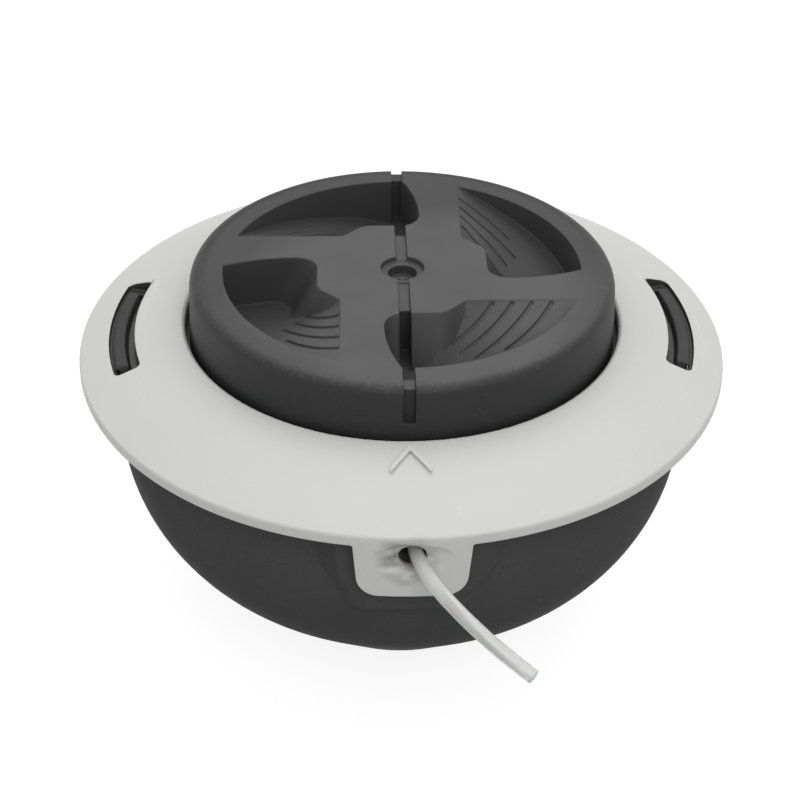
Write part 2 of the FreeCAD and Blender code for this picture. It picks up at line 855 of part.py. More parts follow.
def make_grips(ramp):
    """Shallow grip lines that run down the ramp, each a bowed band of even depth."""
    lowered = ramp.Shape.copy()
    lowered.translate(Z_AXIS * -cell.grip_depth.value)
    count = int(cell.grip_count.value)
    bands = []
    for number in range(count):
        start = FreeCAD.Vector(
            (cell.grip_head_across + cell.grip_head_pitch * number).value,
            -(cell.ramp_head + cell.grip_head_drop).value,
            0,
        )
        end = FreeCAD.Vector(
            (cell.grip_foot_across + cell.grip_foot_pitch * number).value,
            -(cell.grip_foot_back + cell.grip_foot_back_pitch * number).value,
            0,
        )
        if number == count - 1:
            back = start.sub(end).normalize()
            end = end.add(back.multiply(cell.grip_last_short.value))
        band = bowed_band(start, end, cell.grip_bow.value, cell.grip_width.value / 2)
        bands.append(band.extrude(Z_AXIS * knob_top.value).cut(lowered))
    grips = doc.addObject("Part::Feature", "grip_lines")
    grips.Shape = Part.makeCompound(bands)
    return grips


def bowed_band(start, end, bow, half):
    """Flat band along an arc from start to end that bows outwards by a given height."""
    along = end.sub(start)
    side = FreeCAD.Vector(-along.y, along.x, 0).normalize()
    middle_point = start.add(end).multiply(0.5).add(FreeCAD.Vector(side).multiply(bow))
    shift = FreeCAD.Vector(side).multiply(half)
    left = Part.Arc(start.add(shift), middle_point.add(shift), end.add(shift)).toShape()
    right = Part.Arc(end.sub(shift), middle_point.sub(shift), start.sub(shift)).toShape()
    foot = Part.LineSegment(end.add(shift), end.sub(shift)).toShape()
    head = Part.LineSegment(start.sub(shift), start.add(shift)).toShape()
    return Part.Face(Part.Wire([left, foot, right, head]))


def make_spool():
    """Two-chamber spool with a guide sleeve, peg holes and index teeth."""
    body = new_body("line_spool")
    sleeve_inner = cell.post_radius + cell.clearance
    sleeve_outer = sleeve_inner + cell.sleeve_wall
    barrel_inner = cell.barrel_radius - cell.barrel_wall
    low_top = low_flange_level + cell.low_flange_thickness
    divider_top = divider_level + cell.low_flange_thickness
    section = outline(sketch_on(body, "spool_section", "XZ_Plane"), [
        (sleeve_inner, flange_low - cell.sleeve_length),
        (sleeve_outer, flange_low - cell.sleeve_length),
        (sleeve_outer, flange_low),
        (barrel_inner, flange_low),
        (barrel_inner, low_flange_level),
        (low_flange_radius, low_flange_level),
        (low_flange_radius, low_top),
        (cell.barrel_radius, low_top),
        (cell.barrel_radius, divider_level),
        (divider_radius, divider_level),
        (divider_radius, divider_top),
        (cell.barrel_radius, divider_top),
        (cell.barrel_radius, flange_low),
        (flange_radius, flange_low),
        (flange_radius, flange_top),
        (sleeve_inner, flange_top),
    ])
    turned(body, "Revolution", section)
    holes = sketch_on(body, "peg_holes", "XY_Plane")
    circle(holes, cell.peg_circle, 0, cell.peg_radius + cell.clearance)
    circle(holes, -cell.peg_circle, 0, cell.peg_radius + cell.clearance)
    bind(holes, "AttachmentOffset.Base.z", flange_low)
    upward(body, "Pocket", holes, cell.flange_thickness)
    rest_gap = cell.bump_travel + cell.clearance
    tip = cell.floor_level + cell.tooth_height + rest_gap
    add_teeth(body, "spool_tooth", low_flange_level, tip)
    return body


def make_winding(name, low, high, outer):
    """The line's turns in one chamber, as one slightly crowned ring."""
    body = new_body(name)
    inner = cell.barrel_radius + cell.clearance
    section = outline(sketch_on(body, f"{name}_section", "XZ_Plane"), [
        (inner, low + cell.clearance),
        (inner, high - cell.clearance),
        (outer - cell.winding_crown, high - cell.clearance),
        (outer, (low + high) / 2),
        (outer - cell.winding_crown, low + cell.clearance),
    ])
    turned(body, "Revolution", section)
    return body


def make_washer():
    """Steel washer between the spring and the underside of the spool's flange."""
    body = new_body("thrust_washer")
    plan = sketch_on(body, "washer_plan", "XY_Plane")
    circle(plan, 0, 0, cell.washer_outer)
    circle(plan, 0, 0, cell.washer_inner)
    bind(plan, "AttachmentOffset.Base.z", flange_low - cell.washer_thickness)
    upward(body, "Pad", plan, cell.washer_thickness)
    return body


def make_spring():
    """Compression spring round the post, between the housing floor and the washer."""
    wire = cell.spring_wire_radius.value
    gap = cell.clearance.value
    radius = cell.spring_mean_radius.value
    low = cell.floor_level.value + wire + gap
    high = flange_low.value - cell.washer_thickness.value - wire - gap
    runs_per_turn = 12
    runs = int(cell.spring_turns.value) * runs_per_turn
    points = []
    for number in range(runs + 1):
        angle = 2 * math.pi * number / runs_per_turn
        level = low + (high - low) * number / runs
        points.append(FreeCAD.Vector(radius * math.cos(angle), radius * math.sin(angle), level))
    spring = doc.addObject("Part::Feature", "bump_spring")
    spring.Shape = tube(Part.makePolygon(points), points[0], points[1], wire)
    return spring


def tube(path, start, toward, radius):
    """Solid tube of round section along a wire."""
    section = Part.Wire([Part.makeCircle(radius, start, toward.sub(start))])
    right_corners = 1
    return path.makePipeShell([section], True, False, right_corners)


def make_line():
    """Free end of the nylon line: straight runs joined by tangent arcs."""
    points = [FreeCAD.Vector(*point) for point in LINE_POINTS]
    share = 0.45
    edges = []
    previous = points[0]
    radii = []
    for before, corner, after in zip(points, points[1:], points[2:]):
        back = before.sub(corner)
        ahead = after.sub(corner)
        trim = share * min(back.Length, ahead.Length)
        turn = math.pi - back.getAngle(ahead)
        radius = trim / math.tan(turn / 2)
        back.normalize()
        ahead.normalize()
        start = corner.add(FreeCAD.Vector(back).multiply(trim))
        end = corner.add(FreeCAD.Vector(ahead).multiply(trim))
        inward = back.add(ahead).normalize()
        bulge = radius / math.cos(turn / 2) - radius
        crown = corner.add(inward.multiply(bulge))
        edges.append(Part.LineSegment(previous, start).toShape())
        edges.append(Part.Arc(start, crown, end).toShape())
        radii.append(radius)
        previous = end
    edges.append(Part.LineSegment(previous, points[-1]).toShape())
    path = Part.Wire(edges)
    wire = cell.line_radius.value
    section = Part.Wire([Part.makeCircle(wire, points[0], points[1].sub(points[0]))])
    line = doc.addObject("Part::Feature", "trimmer_line")
    line.Shape = path.makePipeShell([section], True, False)
    expected = math.pi * wire ** 2 * path.Length
    print("line: radii", [round(radius, 1) for radius in radii])
    print("line: length", round(path.Length, 2), "volume share", round(line.Shape.Volume / expected, 4))
    return line


def check_document():
    """Stop if any object of the document failed."""
    for item in doc.Objects:
        if "Invalid" in item.State or "Error" in item.State:
            raise RuntimeError(f"{item.Name} failed: {item.State}")


def write_parts(pieces):
    """Check each piece and write it to its own file, named by its label."""
    os.makedirs("parts", exist_ok=True)
    for piece in pieces:
        shape = piece.Shape
        if shape.isNull() or not shape.isValid():
            raise RuntimeError(f"{piece.Label} has no valid shape")
        print(piece.Label, "solids", len(shape.Solids), "volume", round(shape.Volume, 1))
        shape.exportStep(f"parts/{piece.Label}.step")


def main():
    low_top = low_flange_level + cell.low_flange_thickness
    divider_top = divider_level + cell.low_flange_thickness
    pieces = [
        make_base_cup(),
        make_drive_nut(),
        make_cover_ring(),
        make_knob(),
        make_spool(),
        make_winding("upper_winding", divider_top, flange_low, cell.upper_winding_radius),
        make_winding("lower_winding", low_top, divider_level, cell.lower_winding_radius),
        make_washer(),
        make_spring(),
        make_line(),
    ]
    doc.recompute()
    check_document()
    write_parts(pieces)


main()
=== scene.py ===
import json
import math

import bpy
from bpy.props import FloatProperty, FloatVectorProperty, PointerProperty
from bpy.types import Operator, Panel, PropertyGroup
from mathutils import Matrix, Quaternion, Vector

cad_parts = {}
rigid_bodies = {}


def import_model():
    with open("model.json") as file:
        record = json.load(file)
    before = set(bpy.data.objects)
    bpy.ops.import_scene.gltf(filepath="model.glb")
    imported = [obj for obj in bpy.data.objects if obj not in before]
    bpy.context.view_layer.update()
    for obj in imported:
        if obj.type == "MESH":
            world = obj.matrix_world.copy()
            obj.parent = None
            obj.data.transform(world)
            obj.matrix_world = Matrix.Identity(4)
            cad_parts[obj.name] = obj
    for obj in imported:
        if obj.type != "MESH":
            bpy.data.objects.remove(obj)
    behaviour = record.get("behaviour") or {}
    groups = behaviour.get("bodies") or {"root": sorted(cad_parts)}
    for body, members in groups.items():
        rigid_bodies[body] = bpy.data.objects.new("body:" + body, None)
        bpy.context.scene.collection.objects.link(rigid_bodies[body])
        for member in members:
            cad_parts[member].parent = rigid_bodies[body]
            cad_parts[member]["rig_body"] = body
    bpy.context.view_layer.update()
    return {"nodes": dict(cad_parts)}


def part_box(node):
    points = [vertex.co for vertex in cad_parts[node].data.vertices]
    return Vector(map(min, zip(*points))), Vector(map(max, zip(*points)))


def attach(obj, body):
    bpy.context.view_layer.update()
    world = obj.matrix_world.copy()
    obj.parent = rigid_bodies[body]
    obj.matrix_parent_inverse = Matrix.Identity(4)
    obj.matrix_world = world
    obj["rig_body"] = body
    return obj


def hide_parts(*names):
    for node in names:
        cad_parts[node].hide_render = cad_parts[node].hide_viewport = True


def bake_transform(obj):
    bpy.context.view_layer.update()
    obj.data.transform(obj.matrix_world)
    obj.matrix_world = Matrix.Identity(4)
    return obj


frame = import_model()

bl_info = {
    "name": "Bump feed trimmer head",
    "version": (1, 0, 0),
    "blender": (4, 5, 0),
    "location": "View3D > Sidebar > Trimmer head",
    "description": "Dresses the trimmer head's solids and sets up its studio",
    "category": "Object",
}

# The head stands on its machine side, with the axis of rotation along Z and the free line at -Y.
MM = 0.001
NODES = frame["nodes"]
RING_LOW, RING_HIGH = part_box("cover_ring")
KNOB_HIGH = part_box("bump_knob")[1]
NUT_LOW, NUT_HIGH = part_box("drive_nut")

# Route of the free line, from inside the housing out of the eyelet to its cut end.
LINE_ROUTE = [
    (0.0, -51.8, 57.4),
    (0.1, -58.2, 57.4),
    (0.9, -64.6, 57.5),
    (3.4, -70.4, 56.7),
    (7.5, -74.9, 54.4),
    (12.0, -78.1, 51.3),
    (16.5, -80.3, 48.0),
    (20.5, -81.8, 45.3),
]

# Directions in degrees, clear of the features, along which the wide flat faces are divided.
FLAT_SECTORS = (11.0, 41.0, 71.0, 101.0, 131.0, 161.0)

# Points closer than this are one point, when a solid's loose triangles are joined.
WELD = 0.003 * MM

# Points this close to a level lie on it.
ON_LEVEL = 0.005 * MM

# Edges sharper than this many degrees are rounded. The knob's shallow ramp edges stay as they are.
ROUNDED_FROM = 28
KNOB_ROUNDED_FROM = 50

# Faces that meet at less than this angle are shaded as one.
SMOOTH_BELOW = math.radians(60)

# The ring's latch slots, where shade is painted: inner and outer radius, and a level just above their
# ledge.
SLOT_INNER = 53.6 * MM
SLOT_OUTER = 58.8 * MM
SLOT_LEDGE = 64.2 * MM

# Distance from the axis to the outer wall of the knob's finger pockets.
POCKET_REACH = 38.5 * MM


def length(name, description, default):
    """A length property in metres."""
    return FloatProperty(
        name=name, description=description, default=default, min=0.0, unit="LENGTH", subtype="DISTANCE"
    )


def colour(name, description, default):
    """A linear colour property."""
    return FloatVectorProperty(
        name=name, description=description, default=default, size=3, min=0.0, max=1.0, subtype="COLOR"
    )


def place(name, description, default):
    """A point in the head's own frame."""
    return FloatVectorProperty(
        name=name, description=description, default=default, size=3, unit="LENGTH", subtype="XYZ"
    )


def amount(name, description, default):
    """A plain number property."""
    return FloatProperty(name=name, description=description, default=default)


class TrimmerHeadSizes(PropertyGroup):
    """Sizes of the details that the looks add to the solids."""

    housing_edge: length("Housing edge", "Width of the housing's softened edges", 0.35 * MM)
    ring_edge: length("Ring edge", "Width of the ring's softened edges", 0.3 * MM)
    knob_edge: length("Knob edge", "Width of the knob's softened edges", 0.22 * MM)
    line_diameter: length("Line diameter", "Thickness of the nylon line", 2.7 * MM)
    line_length: length("Line length", "Length of the free line", 42.9 * MM)
    mark_reach: length("Mark reach", "Distance from the axis to the tip of a direction mark", 46.4 * MM)
    mark_length: length("Mark length", "Length of a direction mark along the radius", 5.2 * MM)
    mark_width: length("Mark width", "Width across the feet of a direction mark", 7.5 * MM)
    mark_stroke: length("Mark stroke", "Width of a direction mark's raised line", 1.4 * MM)
    mark_rise: length("Mark rise", "Height of a direction mark above the ring", 0.28 * MM)
    nub_radius: length("Nub radius", "Radius of the moulding nub in the knob's centre hole", 0.75 * MM)
    nub_height: length("Nub height", "Height of the moulding nub", 0.7 * MM)
    nub_floor: length("Nub floor", "Depth of the centre hole's floor below the knob's top", 3.2 * MM)
    nut_edge: length("Nut edge", "Width of the drive nut's softened corners", 0.4 * MM)
    thread_pitch: length("Thread pitch", "Pitch of the drive nut's thread", 1.0 * MM)
    thread_crest: length("Thread crest", "Radius of the bore at the thread's crests", 4.5 * MM)
    thread_root: length("Thread root", "Radius of the bore at the thread's roots", 5.0 * MM)


class TrimmerHeadColours(PropertyGroup):
    """Base colours of the finishes."""

    housing: colour("Housing", "Dark moulded nylon of the housing", (0.09, 0.09, 0.091))
    ring: colour("Ring", "Pale grey of the cover ring", (0.675, 0.675, 0.67))
    knob: colour("Knob", "Dark grey of the bump knob", (0.026, 0.026, 0.027))
    # Dust on top of the knob, together with a painted pool of light there; made lighter, the pale wear
    # along the rim.
    dust_and_sheen: colour("Dust", "Rubbed and dusty plastic on top of the knob", (0.1, 0.1, 0.101))
    spool: colour("Spool", "Black of the spool", (0.018, 0.018, 0.018))
    line: colour("Line", "Translucent white of the nylon line", (0.84, 0.85, 0.84))
    steel: colour("Steel", "Zinc plated steel", (0.52, 0.53, 0.55))
    # Dirt round the eyelets; the latch slots take this colour at half strength as painted shade.
    grime_and_shade: colour("Grime", "Dirt round the eyelets and in the latch slots", (0.075, 0.073, 0.07))
    floor: colour("Floor", "Pale studio floor", (0.36, 0.36, 0.36))


class TrimmerHeadStage(PropertyGroup):
    """Camera and light."""

    lens: FloatProperty(name="Lens", description="Focal length", default=85.23, unit="CAMERA")
    camera: place("Camera", "Where the camera stands", (-0.01267, -0.32253, 0.27231))
    aim: place("Aim", "Point in the middle of the picture", (-0.0002, -0.0017, 0.0481))
    roll: FloatProperty(
        name="Roll", description="Turn of the camera about its line of sight",
        default=math.radians(0.745), subtype="ANGLE",
    )
    sky: amount("Sky", "Strength of the light from all round", 0.6)
    softbox_power: amount("Softbox", "Power of the overhead softbox", 4.6)
    softbox_side: length("Softbox side", "Side of the overhead softbox", 1.2)
    softbox_place: place("Softbox place", "Where the softbox hangs", (0.1, 0.3, 1.25))
    fill_power: amount("Fill", "Power of the small softbox in front", 2.0)
    fill_side: length("Fill side", "Side of the small softbox in front", 0.5)
    fill_place: place("Fill place", "Where the small softbox in front hangs", (0.15, -0.75, 0.7))
    backdrop_glow: amount("Floor glow", "How much lighter than it is the camera sees the floor", 0.84)
    floor_side: length("Floor side", "Side of the floor", 12.0)


class Finish:
    """A procedural material, with short calls for the nodes that the finishes share."""

    def __init__(self, name):
        self.material = bpy.data.materials.new(name)
        self.material.use_nodes = True
        self.nodes = self.material.node_tree.nodes
        self.links = self.material.node_tree.links
        self.shader = self.nodes["Principled BSDF"]
        where = self.nodes.new("ShaderNodeTexCoord")
        self.place = where.outputs["Object"]
        self.facing = where.outputs["Normal"]

    def set(self, **sockets):
        """Constants on the shader's own sockets, with the sockets' spaces written as underscores."""
        for name, value in sockets.items():
            self.shader.inputs[name.replace("_", " ")].default_value = value
        return self

    def feed(self, source, socket):
        """Link a value to one of the shader's sockets."""
        self.links.new(source, self.shader.inputs[socket])

    def stretched(self, scale):
        """The place, stretched by a factor along each axis."""
        node = self.nodes.new("ShaderNodeMapping")
        node.inputs["Scale"].default_value = scale
        self.links.new(self.place, node.inputs["Vector"])
        return node.outputs["Vector"]

    def noise(self, size, detail=3.0, where=None):
        """Noise whose features are about as large as size."""
        node = self.nodes.new("ShaderNodeTexNoise")
        node.inputs["Scale"].default_value = 1.0 / size
        node.inputs["Detail"].default_value = detail
        self.links.new(where or self.place, node.inputs["Vector"])
        return node.outputs["Fac"]

    def level(self, source, start, end, low=0.0, high=1.0):
        """Map a value from start..end to low..high, and hold it there."""
        node = self.nodes.new("ShaderNodeMapRange")
        for socket, value in zip(("From Min", "From Max", "To Min", "To Max"), (start, end, low, high)):
            node.inputs[socket].default_value = value
        self.links.new(source, node.inputs["Value"])
        return node.outputs["Result"]

    def combine(self, operation, first, second):
        """A math node on two values, each a socket or a number."""
        node = self.nodes.new("ShaderNodeMath")
        node.operation = operation
        for socket, value in zip(node.inputs, (first, second)):
            if isinstance(value, (int, float)):
                socket.default_value = value
            else:
                self.links.new(value, socket)
        return node.outputs["Value"]

    def product(self, first, *others):
        """Several values multiplied, each after the first a socket or a number."""
        for other in others:
            first = self.combine("MULTIPLY", first, other)
        return first

    def mix(self, share, first, second):
        """Mix two colours, each a socket or three numbers, by a value."""
        node = self.nodes.new("ShaderNodeMix")
        node.data_type = "RGBA"
        self.links.new(share, node.inputs["Factor"])
        ends = [socket for socket in node.inputs if socket.type == "RGBA"]
        for socket, value in zip(ends, (first, second)):
            if isinstance(value, bpy.types.NodeSocket):
                self.links.new(value, socket)
            else:
                socket.default_value = (*value, 1.0)
        return next(socket for socket in node.outputs if socket.type == "RGBA")

    def bump(self, height, depth, below=None):
        """Relief of a given depth, on top of the relief below it."""
        node = self.nodes.new("ShaderNodeBump")
        node.inputs["Distance"].default_value = depth
        self.links.new(height, node.inputs["Height"])
        if below is not None:
            self.links.new(below, node.inputs["Normal"])
        return node.outputs["Normal"]

    def away_from(self, point, where=None):
        """Distance from a point."""
        node = self.nodes.new("ShaderNodeVectorMath")
        node.operation = "DISTANCE"
        node.inputs[1].default_value = point
        self.links.new(where or self.place, node.inputs[0])
        return node.outputs["Value"]

    def off_axis(self):
        """Distance from the head's axis."""
        return self.away_from((0.0, 0.0, 0.0), self.stretched((1.0, 1.0, 0.0)))

    def upright(self, vector):
        """The part of a vector along the head's axis."""
        node = self.nodes.new("ShaderNodeSeparateXYZ")
        self.links.new(vector, node.inputs["Vector"])
        return node.outputs["Z"]

    def coat(self, share, tone):
        """Cover the colour so far with another, by a value."""
        below = self.shader.inputs["Base Color"].links[0].from_socket
        self.feed(self.mix(share, below, tone), "Base Color")


def shade(tone, factor):
    """A colour made lighter or darker."""
    return tuple(min(1.0, part * factor) for part in tone)


def moulded(name, tone, roughness, grain, drift):
    """Moulded plastic: cloudy colour, fine mould grain and faint scuffs."""
    finish = Finish(name)
    cloud = finish.level(finish.noise(16 * MM), 0.3, 0.7)
    fleck = finish.level(finish.noise(0.35 * MM, 2.0), 0.35, 0.65)
    body = finish.mix(cloud, shade(tone, 1.0 - drift), shade(tone, 1.0 + drift))
    speckled = finish.mix(fleck, shade(tone, 1.0 - drift), body)
    scuff_field = finish.noise(2.2 * MM, 4.0, finish.stretched((1.0, 0.12, 1.0)))
    scuffs = finish.level(scuff_field, 0.66, 0.78)
    finish.feed(finish.mix(scuffs, speckled, shade(tone, 1.0 + 3 * drift)), "Base Color")
    finish.feed(finish.level(cloud, 0.0, 1.0, roughness - 0.05, roughness + 0.05), "Roughness")
    wide = finish.bump(finish.noise(5 * MM, 2.0), 0.03 * MM)
    finish.feed(finish.bump(finish.noise(0.3 * MM, 3.0), grain, wide), "Normal")
    return finish.set(IOR=1.47)


def ring_finish(colours):
    """Pale moulded plastic with grime round the two eyelets and painted shade in the latch slots."""
    finish = moulded("pale moulded ring", colours.ring, 0.42, 0.012 * MM, 0.02)
    eyelet_level = LINE_ROUTE[0][2] * MM
    front = finish.away_from((-1.0 * MM, RING_LOW.y, eyelet_level))
    back = finish.away_from((1.0 * MM, RING_HIGH.y, eyelet_level))
    nearest = finish.combine("MINIMUM", front, back)
    halo = finish.level(nearest, 2.4 * MM, 6.5 * MM, 1.0, 0.0)
    smear = finish.level(finish.noise(2.6 * MM, 4.0, finish.stretched((0.5, 1.0, 1.3))), 0.36, 0.64)
    finish.coat(finish.product(halo, smear, 0.9), tuple(colours.grime_and_shade))
    # Painted shade: the walls and floor of the latch slots are darkened.
    reach = finish.off_axis()
    beyond_inner = finish.level(reach, SLOT_INNER - 0.3 * MM, SLOT_INNER)
    within_outer = finish.level(reach, SLOT_OUTER, SLOT_OUTER + 0.2 * MM, 1.0, 0.0)
    steep = finish.level(finish.upright(finish.facing), 0.3, 0.6, 1.0, 0.0)
    sunk = finish.level(finish.upright(finish.place), SLOT_LEDGE, SLOT_LEDGE + 0.6 * MM, 1.0, 0.0)
    slot_shade = finish.product(finish.combine("MAXIMUM", steep, sunk), beyond_inner, within_outer)
    finish.coat(slot_shade, shade(colours.grime_and_shade, 0.5))
    return finish.material


def knob_finish(colours):
    """Dark moulded plastic: dusty on top under a painted pool of light, lighter inside the pockets'
    reach, and worn pale along the rim.
    """
    finish = moulded("dark grey moulded knob", colours.knob, 0.5, 0.018 * MM, 0.14)
    finish.set(Specular_IOR_Level=0.3)
    height = finish.upright(finish.place)
    high_up = finish.level(height, KNOB_HIGH.z - 9 * MM, KNOB_HIGH.z - 2 * MM)
    facing_up = finish.level(finish.upright(finish.facing), 0.35, 0.85)
    cloud = finish.level(finish.noise(12 * MM, 4.0), 0.3, 0.7, 0.75, 1.0)
    # Painted pool of light: the dusty top is lightest round this spot and darker towards the back and
    # the left.
    from_lit_spot = finish.away_from((3 * MM, -12 * MM, KNOB_HIGH.z))
    painted_light_pool = finish.level(from_lit_spot, 27 * MM, 46 * MM, 1.0, 0.1)
    reach = finish.off_axis()
    inside_rim = finish.level(reach, KNOB_HIGH.x - 2.2 * MM, KNOB_HIGH.x - 0.8 * MM, 1.0, 0.2)
    dust_and_sheen_share = finish.product(high_up, facing_up, cloud, painted_light_pool, inside_rim)
    # Everything inside the pockets' outer wall, the pocket walls too, is lightened as well.
    pockets = finish.level(reach, POCKET_REACH, POCKET_REACH + 1.5 * MM, 0.4, 0.0)
    finish.coat(finish.combine("MAXIMUM", dust_and_sheen_share, pockets), tuple(colours.dust_and_sheen))
    rim = finish.level(reach, KNOB_HIGH.x - 4.2 * MM, KNOB_HIGH.x - 1.4 * MM)
    above = finish.level(height, KNOB_HIGH.z - 1.5 * MM, KNOB_HIGH.z - 0.5 * MM)
    nicks = finish.level(finish.noise(0.8 * MM, 5.0), 0.52, 0.72, 0.0, 0.24)
    finish.coat(finish.product(rim, above, nicks), shade(colours.dust_and_sheen, 1.7))
    return finish.material


def line_finish(tone):
    """Drawn nylon: milky, see-through and smooth."""
    finish = Finish("drawn nylon line")
    milk = finish.level(finish.noise(6 * MM), 0.3, 0.7)
    finish.feed(finish.mix(milk, shade(tone, 0.95), tuple(tone)), "Base Color")
    finish.feed(finish.level(finish.noise(4 * MM, 2.0), 0.3, 0.7, 0.2, 0.27), "Roughness")
    finish.set(IOR=1.53, Transmission_Weight=0.5, Subsurface_Weight=0.25, Subsurface_Scale=1.0 * MM)
    return finish.material


def winding_finish(tone, line_diameter):
    """Turns of line side by side, as rings of relief, with painted shade in the gaps between turns."""
    finish = Finish("wound nylon line")
    bands = finish.nodes.new("ShaderNodeTexWave")
    bands.bands_direction = "Z"
    bands.inputs["Scale"].default_value = math.pi / (10.0 * line_diameter)
    finish.links.new(finish.place, bands.inputs["Vector"])
    # Painted shade: the gaps between the turns are darkened.
    shaded_gaps = finish.level(bands.outputs["Fac"], 0.0, 0.5)
    finish.feed(finish.mix(shaded_gaps, shade(tone, 0.55), tuple(tone)), "Base Color")
    finish.feed(finish.level(finish.noise(2 * MM), 0.3, 0.7, 0.26, 0.4), "Roughness")
    finish.feed(finish.bump(bands.outputs["Fac"], 0.8 * MM), "Normal")
    return finish.set(IOR=1.53).material


def steel_finish(tone):
    """Zinc plated steel with faint drawing marks and dull patches."""
    finish = Finish("zinc plated steel")
    patches = finish.level(finish.noise(4 * MM), 0.3, 0.7)
    finish.feed(finish.mix(patches, shade(tone, 0.85), tuple(tone)), "Base Color")
    finish.feed(finish.level(patches, 0.0, 1.0, 0.28, 0.42), "Roughness")
    finish.feed(finish.bump(finish.noise(0.4 * MM, 3.0), 0.01 * MM), "Normal")
    return finish.set(Metallic=1.0).material


def give(piece, material):
    """Make a material the piece's only one."""
    piece.data.materials.clear()
    piece.data.materials.append(material)


def only(piece):
    """Select one object alone and make it active."""
    if bpy.context.object and bpy.context.object.mode != "OBJECT":
        bpy.ops.object.mode_set(mode="OBJECT")
    bpy.ops.object.select_all(action="DESELECT")
    piece.select_set(True)
    bpy.context.view_layer.objects.active = piece


def apply_all(piece):
    """Apply every modifier of a piece, in order."""
    only(piece)
    for modifier in list(piece.modifiers):
        bpy.ops.object.modifier_apply(modifier=modifier.name)


def settle(piece):
    """Put a piece's place into its mesh, so that its object sits at the origin."""
    only(piece)
    bpy.ops.object.transform_apply(location=True, rotation=True, scale=True)


def keep_inside(piece, low, high):
    """Bring points that a rounded corner pushed out back to a box."""
    for vertex in piece.data.vertices:
        vertex.co = Vector(max(a, min(b, c)) for a, b, c in zip(low, high, vertex.co))


def split_flats():
    """Cut the mesh being edited into sectors about the axis, so that no flat face runs round it."""
    for turn in FLAT_SECTORS:
        bpy.ops.mesh.select_all(action="SELECT")
        side = (math.cos(math.radians(turn)), math.sin(math.radians(turn)), 0.0)
        bpy.ops.mesh.bisect(plane_co=(0.0, 0.0, 0.0), plane_no=side)


def joined_copy(node, name):
    """Copy of a solid's mesh with its loose triangles joined, left in edit mode."""
    piece = bpy.data.objects.new(name, NODES[node].data.copy())
    bpy.context.scene.collection.objects.link(piece)
    only(piece)
    bpy.ops.object.mode_set(mode="EDIT")
    bpy.ops.mesh.select_all(action="SELECT")
    bpy.ops.mesh.customdata_custom_splitnormals_clear()
    bpy.ops.mesh.remove_doubles(threshold=WELD)
    return piece


def softened(node, name, width, angle):
    """Copy of a solid's mesh with its sharp edges rounded, standing for the solid."""
    piece = joined_copy(node, name)
    bpy.ops.mesh.dissolve_limited(angle_limit=math.radians(0.3))
    split_flats()
    bpy.ops.object.mode_set(mode="OBJECT")
    rounding = piece.modifiers.new("soft edges", "BEVEL")
    rounding.width = width
    rounding.segments = 2
    rounding.limit_method = "ANGLE"
    rounding.angle_limit = math.radians(angle)
    rounding.use_clamp_overlap = False
    rounding.miter_outer = "MITER_ARC"
    apply_all(piece)
    keep_inside(piece, *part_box(node))
    bpy.ops.object.shade_smooth_by_angle(angle=SMOOTH_BELOW)
    flats = piece.modifiers.new("flat faces", "WEIGHTED_NORMAL")
    flats.keep_sharp = True
    apply_all(piece)
    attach(piece, NODES[node]["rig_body"])
    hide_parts(node)
    return piece


